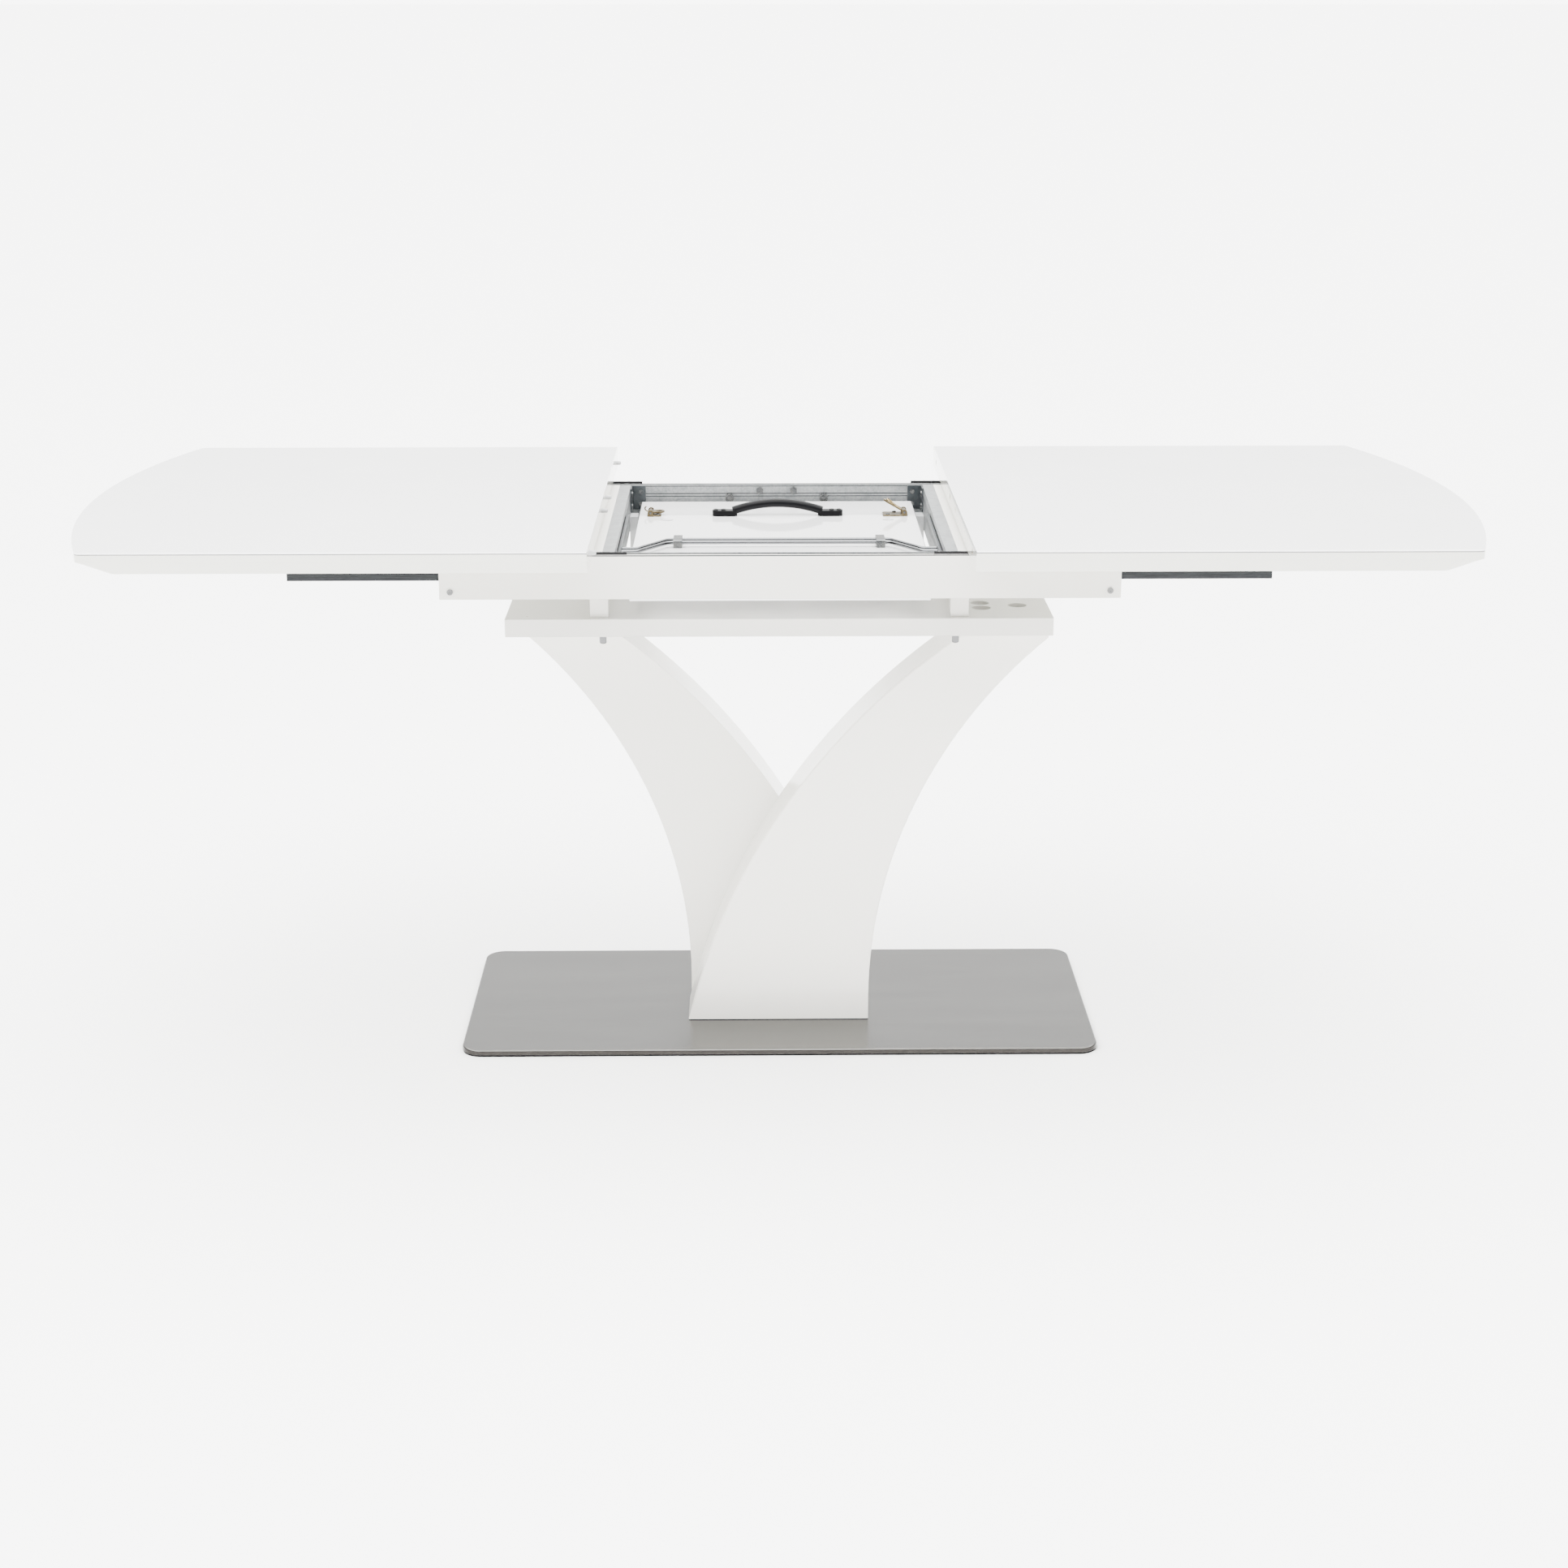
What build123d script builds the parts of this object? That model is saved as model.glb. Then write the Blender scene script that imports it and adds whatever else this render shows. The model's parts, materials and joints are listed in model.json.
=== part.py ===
"""Extendable dining table: two sliding leaves, a stored folding insert and a crossed-leg pedestal.

X runs along the length, Y from front to back, Z up.  The origin is on the floor, in the middle of
the table.  The table is drawn pulled open, with the insert lying in its well.  Millimetres.
"""
from build123d import *
import os
from math import sqrt

# ---------------------------------------------------------------- driving dimensions
TABLE_H = 760  # floor to table top
TOP_W = 800  # depth of the top, front to back
END_X = 943  # middle of a bowed end, table open
CORNER_X = 879  # corner of the top, table open
GAP_X = 243  # inner edge of each open leaf; also how far each leaf slides
LEAF_T = 28  # thickness of a leaf
RIM_T = 12  # upright band of the leaf's edge
BEVEL_END, BEVEL_SIDE = 40, 8  # how far the under-bevel runs in at an end and along the sides
LEAF_CORNER_R = 10

PLATE_L, PLATE_D, PLATE_T, PLATE_R = 895, 402, 7, 28
PAD_T, PAD_INSET = 3, 1

BOARD_L, BOARD_D, BOARD_T = 748, 265, 25
BOARD_TOP = 612.5
LEG_D = 89  # depth of each pedestal leg
LEG_OUT_R, LEG_OUT_CX, LEG_OUT_CZ = 692, 820, 46  # hollow outer curve of a leg
LEG_IN_R, LEG_IN_CX, LEG_IN_CZ = 946.8, 792.7, -198.4  # round inner curve of a leg

RAIL_L, RAIL_Y, RAIL_WALL = 890, 262, 2.5
RAIL_BOTTOM, RAIL_TOP = 669, 728
CHANNEL_D, CHANNEL_WALL = 12.5, 1.6
CROSS_X, CROSS_T, CROSS_WALL = 232.5, 18, 2  # inner face and width of a white cross member
STRIP_T, STRIP_WALL = 16, 1.5  # zinc channel on the inner side of a cross member
POST, POST_X, POST_Y, POST_WALL = 25, 245.5, 112, 2
BOLT_X = CROSS_X + CROSS_T / 2  # the bolts pass up the middle of the cross members
BOLT_D, BOLT_CAP_D, BOLT_CAP_T = 8, 10, 14

BAR_T, BAR_H, BAR_L, BAR_Z = 8, 10, 400, 693  # steel bar that carries a leaf
TAB_T, TAB_L, FLANGE_W, FLANGE_T = 4, 40, 26, 2.5
STOP_T = 5  # thickness of the stop on a bar's inner end
SLIDE_FIT = 0.35  # running gap between a bar and its nylon guide
PIN_D, PIN_OUT, PIN_IN = 6, 8, 22
PIN_YS = (-335, -50, 50, 335)

INSERT_HALF_X, INSERT_T = 200, 25  # half width and thickness of one half of the insert
INSERT_FRONT, INSERT_BACK, INSERT_TOP = -208, 237, 705
PIVOT_Y, PIVOT_Z, PIVOT_D = -208, 712, 6
ARM_X, ARM_T, ARM_H, ARM_BACK = 212, 3, 12, 70
ROD_D, ROD_YS, ROD_Z = 5, (-98, -79), 711
ROD_CRANK, ROD_BEND_X, ROD_END_X = 62, 151, 192  # forward step of the rods' ends, and where it lies
CLAMP_X, CLAMP_L = 138, 12
HANDLE_Y, HANDLE_FOOT_X, HANDLE_BAR = 127, 76, 12
LATCH_Y, LATCH_X, LATCH_W, LATCH_PIN = 131, 183, 16, 3
LATCH_OPEN = 30  # how far the right latch lever stands up, degrees

# ---------------------------------------------------------------- derived
LEAF_BOTTOM = TABLE_H - LEAF_T
BEVEL_TOP = TABLE_H - RIM_T
BOARD_BOTTOM = BOARD_TOP - BOARD_T
PLATE_TOP = PAD_T + PLATE_T
RAIL_INNER = RAIL_Y - RAIL_WALL
WELL_Y = RAIL_INNER - CHANNEL_D  # inner face of the slide channels
STRIP_X = CROSS_X - STRIP_T  # inner face of the zinc cross channels
BAR_Y = RAIL_INNER - CHANNEL_D / 2
BAR_TOP = BAR_Z + BAR_H
FRONT, BACK = -1, 1
LEFT, RIGHT = -1, 1
SIDES = (LEFT, RIGHT)
CORNERS = [(sx, sy) for sx in SIDES for sy in (FRONT, BACK)]

os.makedirs("parts", exist_ok=True)


def save(name, *solids):
    """Write one named sub-part, a single solid or a group of separate ones."""
    shape = solids[0] if len(solids) == 1 else Compound(children=list(solids))
    export_step(shape, f"parts/{name}.step")


def block(x0, x1, y0, y1, z0, z1):
    """A box between two corners; the ends of each axis may come in either order."""
    size = (abs(x1 - x0), abs(y1 - y0), abs(z1 - z0))
    return Pos((x0 + x1) / 2, (y0 + y1) / 2, (z0 + z1) / 2) * Box(*size)


def rod_x(x0, x1, y, z, d):
    return Pos((x0 + x1) / 2, y, z) * Rot(0, 90, 0) * Cylinder(d / 2, abs(x1 - x0))


def rod_y(x, y0, y1, z, d):
    return Pos(x, (y0 + y1) / 2, z) * Rot(90, 0, 0) * Cylinder(d / 2, abs(y1 - y0))


def rod_z(x, y, z0, z1, d):
    return Pos(x, y, (z0 + z1) / 2) * Cylinder(d / 2, abs(z1 - z0))


def mirror_x(shape):
    return shape.mirror(Plane.YZ)


# ---------------------------------------------------------------- base plate
PLATE_SCREW_YS = (-67, -22, 22, 67)
PLATE_SCREW_XS = (-85, 85)
PLATE_SCREW_D, PLATE_SCREW_HEAD, PLATE_SCREW_L = 8, 16, 45
PLATE_SCREWS = [(x, y) for x in PLATE_SCREW_XS for y in PLATE_SCREW_YS]


def plate_screw(x, y):
    """A countersunk screw up through the plate into the foot of a leg."""
    head_t = (PLATE_SCREW_HEAD - PLATE_SCREW_D) / 2
    head = Pos(x, y, PAD_T + head_t / 2) * Cone(PLATE_SCREW_HEAD / 2, PLATE_SCREW_D / 2, head_t)
    socket = Pos(x, y, PAD_T) * extrude(RegularPolygon(2.9, 6), 3)
    return head + rod_z(x, y, PAD_T + head_t, PAD_T + PLATE_SCREW_L, PLATE_SCREW_D) - socket


def plate_screw_room(x, y):
    head_t = (PLATE_SCREW_HEAD - PLATE_SCREW_D) / 2
    head = Pos(x, y, PAD_T + head_t / 2) * Cone(PLATE_SCREW_HEAD / 2, PLATE_SCREW_D / 2, head_t)
    return head + rod_z(x, y, PAD_T, PAD_T + PLATE_SCREW_L, PLATE_SCREW_D)


def base_plate():
    sheet = Pos(0, 0, PAD_T) * extrude(RectangleRounded(PLATE_L, PLATE_D, PLATE_R), PLATE_T)
    sheet = fillet(sheet.faces().sort_by(Axis.Z)[-1].edges(), 2.5)
    for x, y in PLATE_SCREWS:
        sheet -= plate_screw_room(x, y)
    return sheet


def base_pad():
    length, depth = PLATE_L - 2 * PAD_INSET, PLATE_D - 2 * PAD_INSET
    return extrude(RectangleRounded(length, depth, PLATE_R - PAD_INSET), PAD_T)


# ---------------------------------------------------------------- pedestal legs
LEG_BOLTS = ((280, 40), (280, 70), (331, 55))  # from the middle: along X, and depth into the leg
LEG_BOLT_D, LEG_BOLT_HEAD, LEG_BOLT_HEAD_T, LEG_BOLT_L = 10, 26, 8, 40
LEG_BOLT_SINK = 6  # depth of a bolt head below the board's face


def curve_x(radius, cx, cz, z):
    """X of a leg's edge at a height, on a circle whose centre lies beyond it."""
    return cx - sqrt(radius**2 - (z - cz) ** 2)


def outer_x(z):
    return curve_x(LEG_OUT_R, LEG_OUT_CX, LEG_OUT_CZ, z)


def inner_x(z):
    return curve_x(LEG_IN_R, LEG_IN_CX, LEG_IN_CZ, z)


def leg_profile():
    """Outline in the XZ plane of a leg that leans out to the right as it rises."""
    z0, z1 = PLATE_TOP, BOARD_BOTTOM
    end = BOARD_L / 2 - 2
    z_end = LEG_OUT_CZ + sqrt(LEG_OUT_R**2 - (LEG_OUT_CX - end) ** 2)
    z_foot = LEG_OUT_CZ
    foot, mid = (outer_x(z_foot), z_foot), (z_foot + z_end) / 2
    low = (inner_x(z0), z0)
    edges = [
        Line((foot[0], z0), foot),
        ThreePointArc(foot, (outer_x(mid), mid), (end, z_end)),
        Line((end, z_end), (end, z1)),
        Line((end, z1), (inner_x(z1), z1)),
        ThreePointArc((inner_x(z1), z1), (inner_x(mid), mid), low),
        Line(low, (foot[0], z0)),
    ]
    return make_face([Plane.XZ * edge for edge in edges])


def front_leg():
    leg = extrude(leg_profile(), LEG_D, dir=(0, -1, 0))
    arrises = leg.faces().sort_by(Axis.Y)[0].edges().filter_by(GeomType.CIRCLE)
    leg = fillet(arrises, 2)
    for x, y in PLATE_SCREWS:
        if y < 0:
            leg -= plate_screw_room(x, y)
    for x, depth in LEG_BOLTS:
        leg -= rod_z(x, -depth, BOARD_BOTTOM - LEG_BOLT_L, BOARD_BOTTOM, LEG_BOLT_D)
    return leg


def leg_bolt_places():
    """The right-hand group holds the front leg, the left-hand one, turned half round, the rear leg."""
    for x, depth in LEG_BOLTS:
        yield x, -depth
        yield -x, depth


def leg_bolts():
    top = BOARD_TOP - LEG_BOLT_SINK
    for x, y in leg_bolt_places():
        head = rod_z(x, y, top - LEG_BOLT_HEAD_T, top, LEG_BOLT_HEAD - 2)
        shank = rod_z(x, y, BOARD_BOTTOM - LEG_BOLT_L, top - LEG_BOLT_HEAD_T, LEG_BOLT_D)
        yield head + shank - Pos(x, y, top - 4) * extrude(RegularPolygon(4.6, 6), 4)


# ---------------------------------------------------------------- board, posts and their bolts
def pedestal_board():
    board = block(-BOARD_L / 2, BOARD_L / 2, -BOARD_D / 2, BOARD_D / 2, BOARD_BOTTOM, BOARD_TOP)
    board = fillet(board.edges().filter_by(Axis.Z), 3)
    board = chamfer(board.faces().sort_by(Axis.Z)[-1].edges(), 0.8)
    for x, y in leg_bolt_places():
        board -= rod_z(x, y, BOARD_TOP - LEG_BOLT_SINK - LEG_BOLT_HEAD_T, BOARD_TOP, LEG_BOLT_HEAD)
        board -= rod_z(x, y, BOARD_BOTTOM, BOARD_TOP, LEG_BOLT_D)
    for sx, sy in CORNERS:
        board -= rod_z(sx * BOLT_X, sy * POST_Y, BOARD_BOTTOM, BOARD_TOP, BOLT_D)
    return board


def post(sx, sy):
    """A short square tube that holds the frame off the board."""
    shape = Rectangle(POST, POST) - Rectangle(POST - 2 * POST_WALL, POST - 2 * POST_WALL)
    return Pos(sx * POST_X, sy * POST_Y, BOARD_TOP) * extrude(shape, RAIL_BOTTOM - BOARD_TOP)


def post_bolt(sx, sy):
    """A chrome bolt with a round cap, up through board, post and the lower wall of the cross member."""
    x, y = sx * BOLT_X, sy * POST_Y
    cap = rod_z(x, y, BOARD_BOTTOM - BOLT_CAP_T, BOARD_BOTTOM, BOLT_CAP_D)
    cap = fillet(cap.faces().sort_by(Axis.Z)[0].edges(), 2)
    washer = rod_z(x, y, BOARD_BOTTOM - 1.5, BOARD_BOTTOM, 17)
    return cap + washer + rod_z(x, y, BOARD_BOTTOM - 2, RAIL_BOTTOM + 14, BOLT_D)


def post_nut(sx, sy):
    """A square nut inside the cross member."""
    x, y, z = sx * BOLT_X, sy * POST_Y, RAIL_BOTTOM + CROSS_WALL
    return block(x - 6.5, x + 6.5, y - 6.5, y + 6.5, z, z + 6.5) - rod_z(x, y, z, z + 7, BOLT_D)


# ---------------------------------------------------------------- frame under the leaves
RAIL_SCREW_X, RAIL_SCREW_Z = RAIL_L / 2 - 14, RAIL_BOTTOM + 10
HEX_X, HEX_Z, HEX_SIZE = 25, 719, 5.5
BUMPER_X, BUMPER_Z, BUMPER_D = 70, 709, 13
COVER_X, COVER_W, COVER_T = (200, 254), 4, 3.3  # reach, width and height of a corner cover
CREASE_DROP, CREASE_D = 13, 1.4  # folded line along the well side of a slide channel
BRACKET_T, BRACKET_SIDE, BRACKET_BACK, BRACKET_BOTTOM = 2, 28, 22, 692
BRACKET_SCREW_X, BRACKET_SCREW_ZS = 15, (700, 718)


def rail(sy):
    """White steel rail: an upright wall with a short flange under the slide channel."""
    half = RAIL_L / 2
    wall = block(-half, half, sy * RAIL_INNER, sy * RAIL_Y, RAIL_BOTTOM, RAIL_TOP)
    foot_z = RAIL_BOTTOM + RAIL_WALL
    foot = block(-half, half, sy * WELL_Y, sy * RAIL_Y, RAIL_BOTTOM, foot_z)
    shape = wall + foot
    for sx in SIDES:
        x = sx * RAIL_SCREW_X
        shape -= rod_y(x, sy * (RAIL_INNER - 1), sy * (RAIL_Y + 1), RAIL_SCREW_Z, 4)
    return shape


def slide_channel(sy):
    """Zinc plated trough, open at the top, that the leaf bars run in."""
    half, foot_z = RAIL_L / 2 - 1, RAIL_BOTTOM + RAIL_WALL
    trough = block(-half, half, sy * WELL_Y, sy * RAIL_INNER, foot_z, RAIL_TOP)
    hollow = block(
        -half,
        half,
        sy * (WELL_Y + CHANNEL_WALL),
        sy * (RAIL_INNER - CHANNEL_WALL),
        foot_z + CHANNEL_WALL,
        RAIL_TOP,
    )
    crease = rod_x(-half, half, sy * WELL_Y, RAIL_TOP - CREASE_DROP, CREASE_D)
    shape = trough - hollow - crease
    for sx in SIDES:
        for x, z, d in ((HEX_X, HEX_Z, 5), (BUMPER_X, BUMPER_Z, 5)):
            shape -= rod_y(sx * x, sy * (WELL_Y - 2), sy * (WELL_Y + CHANNEL_WALL), z, d)
        x = sx * RAIL_SCREW_X
        shape -= rod_y(x, sy * (RAIL_INNER - 2), sy * (RAIL_INNER + 1), RAIL_SCREW_Z, 4)
    return shape


def rail_screw(sx, sy):
    x, z = sx * RAIL_SCREW_X, RAIL_SCREW_Z
    shank = rod_y(x, sy * (RAIL_INNER - CHANNEL_WALL), sy * RAIL_Y, z, 4)
    head = rod_y(x, sy * RAIL_Y, sy * (RAIL_Y + 1.6), z, 8)
    slot = rod_y(x, sy * (RAIL_Y + 0.8), sy * (RAIL_Y + 1.6), z, 2.4)
    return shank + head - slot


def hex_bolt(sx, sy):
    """A small hexagon bolt through the well side of a slide channel."""
    x, y = sx * HEX_X, sy * WELL_Y
    flat = Plane(origin=(x, y, HEX_Z), z_dir=(0, -sy, 0)) * RegularPolygon(HEX_SIZE, 6)
    head = extrude(flat, 3.5, dir=(0, -sy, 0))
    return head + rod_y(x, y, y + sy * CHANNEL_WALL, HEX_Z, 5)


def bumper(sx, sy):
    """A ring-shaped nylon bumper beside the hexagon bolts, on its own stud."""
    x, y = sx * BUMPER_X, sy * WELL_Y
    ring = rod_y(x, y - sy * 4, y, BUMPER_Z, BUMPER_D)
    dish = rod_y(x, y - sy * 4, y - sy * 1, BUMPER_Z, BUMPER_D - 3)
    stud = rod_y(x, y - sy * 3.4, y + sy * CHANNEL_WALL, BUMPER_Z, 5)
    return ring - dish + stud


def cross_member(sx):
    """White box section across the frame; the posts stand under it."""
    x0, x1 = sx * CROSS_X, sx * (CROSS_X + CROSS_T)
    box = block(x0, x1, -WELL_Y, WELL_Y, RAIL_BOTTOM, RAIL_TOP)
    box -= block(
        x0 + sx * CROSS_WALL,
        x1 - sx * CROSS_WALL,
        -WELL_Y,
        WELL_Y,
        RAIL_BOTTOM + CROSS_WALL,
        RAIL_TOP - CROSS_WALL,
    )
    for sy in (FRONT, BACK):
        box -= rod_z(sx * BOLT_X, sy * POST_Y, RAIL_BOTTOM, RAIL_BOTTOM + CROSS_WALL, BOLT_D)
    return box


def cross_channel(sx):
    """Zinc plated channel, open below, on the well side of a cross member."""
    x0, x1 = sx * STRIP_X, sx * CROSS_X
    box = block(x0, x1, -WELL_Y, WELL_Y, RAIL_BOTTOM, RAIL_TOP)
    box -= block(
        x0 + sx * STRIP_WALL,
        x1 - sx * STRIP_WALL,
        -WELL_Y,
        WELL_Y,
        RAIL_BOTTOM,
        RAIL_TOP - STRIP_WALL,
    )
    return box - rod_x(x0 - sx, x0 + sx * 4, PIVOT_Y, PIVOT_Z, PIVOT_D + 0.6)


def corner_bracket(sx, sy):
    """Dark steel angle that ties a cross channel to a slide channel."""
    x, y, t = sx * STRIP_X, sy * WELL_Y, BRACKET_T
    side = block(x, x - sx * t, y, y - sy * BRACKET_SIDE, BRACKET_BOTTOM, RAIL_TOP - 1)
    back = block(x, x - sx * BRACKET_BACK, y, y - sy * t, BRACKET_BOTTOM, RAIL_TOP - 1)
    shape = side + back
    for z in BRACKET_SCREW_ZS:
        shape -= rod_x(x - sx * 3, x + sx, y - sy * 20, z, 4)
        shape -= rod_y(x - sx * BRACKET_SCREW_X, y - sy * 3, y + sy, z, 4)
    return shape


def bracket_screws(sx, sy, z):
    """Round-headed screws at one height, one through each wing of the bracket."""
    x, y, t, head = sx * STRIP_X, sy * (WELL_Y - 20), BRACKET_T, BRACKET_T + 1.5
    yield rod_x(x - sx * t, x, y, z, 4) + rod_x(x - sx * head, x - sx * t, y, z, 7.5)
    x, y = x - sx * BRACKET_SCREW_X, sy * WELL_Y
    yield rod_y(x, y - sy * t, y, z, 4) + rod_y(x, y - sy * head, y - sy * t, z, 6.5)


def corner_cover(sx, sy):
    """Black strip on the rail's edge, where a cross member meets it."""
    x0, x1 = sx * COVER_X[0], sx * COVER_X[1]
    strip = block(x0, x1, sy * (RAIL_Y - COVER_W), sy * RAIL_Y, RAIL_TOP, RAIL_TOP + COVER_T)
    return chamfer(strip.faces().sort_by(Axis.Z)[-1].edges(), 0.5)


def slide_guide(sx, sy, x):
    """Nylon guide in the trough; it grips the bar and leaves a slot for the tabs above it."""
    y0, y1 = sy * (WELL_Y + CHANNEL_WALL), sy * (RAIL_INNER - CHANNEL_WALL)
    half, fit = 10, SLIDE_FIT
    z0 = RAIL_BOTTOM + RAIL_WALL + CHANNEL_WALL
    body = block(sx * (x - half), sx * (x + half), y0, y1, z0, BAR_TOP + 6)
    bar = block(
        sx * (x - half),
        sx * (x + half),
        sy * (BAR_Y - BAR_T / 2 - fit),
        sy * (BAR_Y + BAR_T / 2 + fit),
        BAR_Z - fit,
        BAR_TOP + fit,
    )
    slot_y = TAB_T / 2 + fit
    slot = block(
        sx * (x - half), sx * (x + half), sy * (BAR_Y - slot_y), sy * (BAR_Y + slot_y), BAR_Z, BAR_TOP + 6
    )
    return body - bar - slot


def rest_block(sx):
    """Grey plastic shelf that carries a rear corner of the stored insert."""
    x, y0, y1, z = sx * STRIP_X, 196, 226, INSERT_TOP - 2 * INSERT_T - 0.8
    upright = block(x, x - sx * 12, y0, y1, z - 12, 690)
    shelf = block(x, sx * (INSERT_HALF_X - 16), y0, y1, z - 12, z)
    return fillet((upright + shelf).edges().filter_by(Axis.Y), 1)


# ---------------------------------------------------------------- leaves, drawn for the right side
def leaf_outline(end_in, side_in, z):
    """Plan of a leaf with a bowed outer end, drawn in at that end and along the sides."""
    y, xc, xm = TOP_W / 2 - side_in, CORNER_X - end_in, END_X - end_in
    edges = [
        Line((GAP_X, -y), (xc, -y)),
        ThreePointArc((xc, -y), (xm, 0), (xc, y)),
        Line((xc, y), (GAP_X, y)),
        Line((GAP_X, y), (GAP_X, -y)),
    ]
    face = make_face(edges)
    corners = [v for v in face.vertices() if v.X > GAP_X + 1]
    return Pos(0, 0, z) * fillet(corners, LEAF_CORNER_R)


def leaf():
    rim = extrude(leaf_outline(0, 0, BEVEL_TOP), RIM_T)
    low, high = leaf_outline(BEVEL_END, BEVEL_SIDE, LEAF_BOTTOM), leaf_outline(0, 0, BEVEL_TOP)
    bevel = loft([low, high])
    body = fillet(rim.faces().sort_by(Axis.Z)[-1].edges(), 1.2) + bevel
    for x, y in flange_screws():
        body -= rod_z(x, y, LEAF_BOTTOM, LEAF_BOTTOM + 14, 4)
    for y in PIN_YS:
        body -= rod_x(GAP_X, GAP_X + PIN_IN, y, PIN_Z, PIN_HOLE_D)
    return body


PIN_Z = TABLE_H - LEAF_T / 2
PIN_HOLE_D = 9  # hole for a pin's brass sleeve
TAB_XS = (GAP_X + 60, GAP_X + BAR_L - TAB_L)  # inner end of each upright tab on a bar


def flange_screws():
    for sy in (FRONT, BACK):
        for tab_x in TAB_XS:
            for dx in (8, TAB_L - 8):
                yield tab_x + dx, sy * (BAR_Y - 8)


def slide_bar(sy):
    """Steel bar with two upright tabs, each with a flange under the leaf."""
    x0, x1 = GAP_X + STOP_T + 0.5, GAP_X + BAR_L
    y0, y1 = sy * (BAR_Y - BAR_T / 2), sy * (BAR_Y + BAR_T / 2)
    bar = chamfer(block(x0, x1, y0, y1, BAR_Z, BAR_TOP).edges().filter_by(Axis.X), 0.8)
    for tab_x in TAB_XS:
        end = tab_x + TAB_L
        bar += block(tab_x, end, sy * (BAR_Y - 2), sy * (BAR_Y + 2), BAR_TOP - 1, LEAF_BOTTOM)
        low = LEAF_BOTTOM - FLANGE_T
        flange_y = sy * (BAR_Y + 2), sy * (BAR_Y + 2 - FLANGE_W / 2)
        bar += block(tab_x, end, *flange_y, low, LEAF_BOTTOM)
    for x, y in flange_screws():
        bar -= rod_z(x, y, LEAF_BOTTOM - FLANGE_T, LEAF_BOTTOM, 4)
    return bar


def flange_screw(x, y):
    top = LEAF_BOTTOM - FLANGE_T
    return rod_z(x, y, top, LEAF_BOTTOM + 14, 4) + rod_z(x, y, top - 1, top, 7)


def bar_stop(sy):
    """Black plastic stop on the inner end of a bar."""
    y0, y1 = sy * (BAR_Y - BAR_T / 2), sy * (BAR_Y + BAR_T / 2)
    return block(GAP_X + 0.5, GAP_X + 0.5 + STOP_T, y0, y1, BAR_Z - 2, BAR_TOP + 2)


def sleeve(y):
    ring = rod_x(GAP_X, GAP_X + PIN_IN, y, PIN_Z, PIN_HOLE_D)
    return ring - rod_x(GAP_X, GAP_X + PIN_IN - 2, y, PIN_Z, PIN_D + 0.8)


def left_pin(y):
    """Pin of the left leaf, with the same seat as a sleeve and a round nose."""
    seat = rod_x(-GAP_X, -GAP_X - PIN_IN, y, PIN_Z, PIN_HOLE_D)
    nose = rod_x(-GAP_X, -GAP_X + PIN_OUT, y, PIN_Z, PIN_D)
    return seat + fillet(nose.faces().sort_by(Axis.X)[-1].edges(), 2)


# ---------------------------------------------------------------- stored insert and its swing frame
def insert_half(top):
    y0, y1, half = INSERT_FRONT, INSERT_BACK, INSERT_HALF_X
    panel = block(-half, half, y0, y1, top - INSERT_T, top)
    return chamfer(panel.faces().sort_by(Axis.Z)[-1].edges(), 1)


def swing_arm(sx):
    x0, x1 = sx * ARM_X, sx * (ARM_X + ARM_T)
    z0, z1 = PIVOT_Z - ARM_H / 2, PIVOT_Z + ARM_H / 2
    arm = block(x0, x1, PIVOT_Y, ARM_BACK, z0, z1)
    for y in (PIVOT_Y, ARM_BACK):
        arm += rod_x(x0, x1, y, PIVOT_Z, ARM_H)
    return arm - rod_x(x0 - sx, x1 + sx, PIVOT_Y, PIVOT_Z, PIVOT_D)


def swing_pivot(sx):
    """Pivot pin riveted in an arm, turning in the cross channel."""
    head = rod_x(sx * (ARM_X - 2), sx * ARM_X, PIVOT_Y, PIVOT_Z, 10)
    return head + rod_x(sx * ARM_X, sx * (STRIP_X + 4), PIVOT_Y, PIVOT_Z, PIVOT_D)


def swing_rod(y):
    """Round rod across the insert, its ends cranked forward to the arms."""
    bends = [(ARM_X + 4, y - ROD_CRANK), (ROD_END_X, y - ROD_CRANK), (ROD_BEND_X, y)]
    route = [(-x, v, ROD_Z) for x, v in bends] + [(x, v, ROD_Z) for x, v in reversed(bends)]
    path = FilletPolyline(*route, radius=12)
    rod = sweep(Plane(origin=path @ 0, z_dir=path % 0) * Circle(ROD_D / 2), path=path)
    return rod & block(-ARM_X, ARM_X, y - 80, y + 20, ROD_Z - ROD_D, ROD_Z + ROD_D)


def rod_clamp(sx):
    x0, x1 = sx * (CLAMP_X - CLAMP_L / 2), sx * (CLAMP_X + CLAMP_L / 2)
    y0, y1 = ROD_YS[0] - 10, ROD_YS[1] + 10
    body = block(x0, x1, y0, y1, INSERT_TOP, ROD_Z + 5)
    body = fillet(body.edges().filter_by(Axis.X).group_by(Axis.Z)[-1], 3)
    for y in ROD_YS:
        body -= rod_x(x0 - sx, x1 + sx, y, ROD_Z, ROD_D)
    return body


def screw_down(x, y, z, head=6.5, length=14):
    """A pan-head screw driven down into the insert from a surface at z."""
    body = rod_z(x, y, z, z + 1.6, head) + rod_z(x, y, INSERT_TOP - length, z, 3)
    return body - rod_z(x, y, z + 0.8, z + 1.6, 2.2)


HANDLE_FOOT = (36, 16, 8)
HANDLE_RISE = 18
HANDLE_SCREWS = [(sx * (HANDLE_FOOT_X + dx), HANDLE_Y) for sx in SIDES for dx in (2, 13)]


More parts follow.
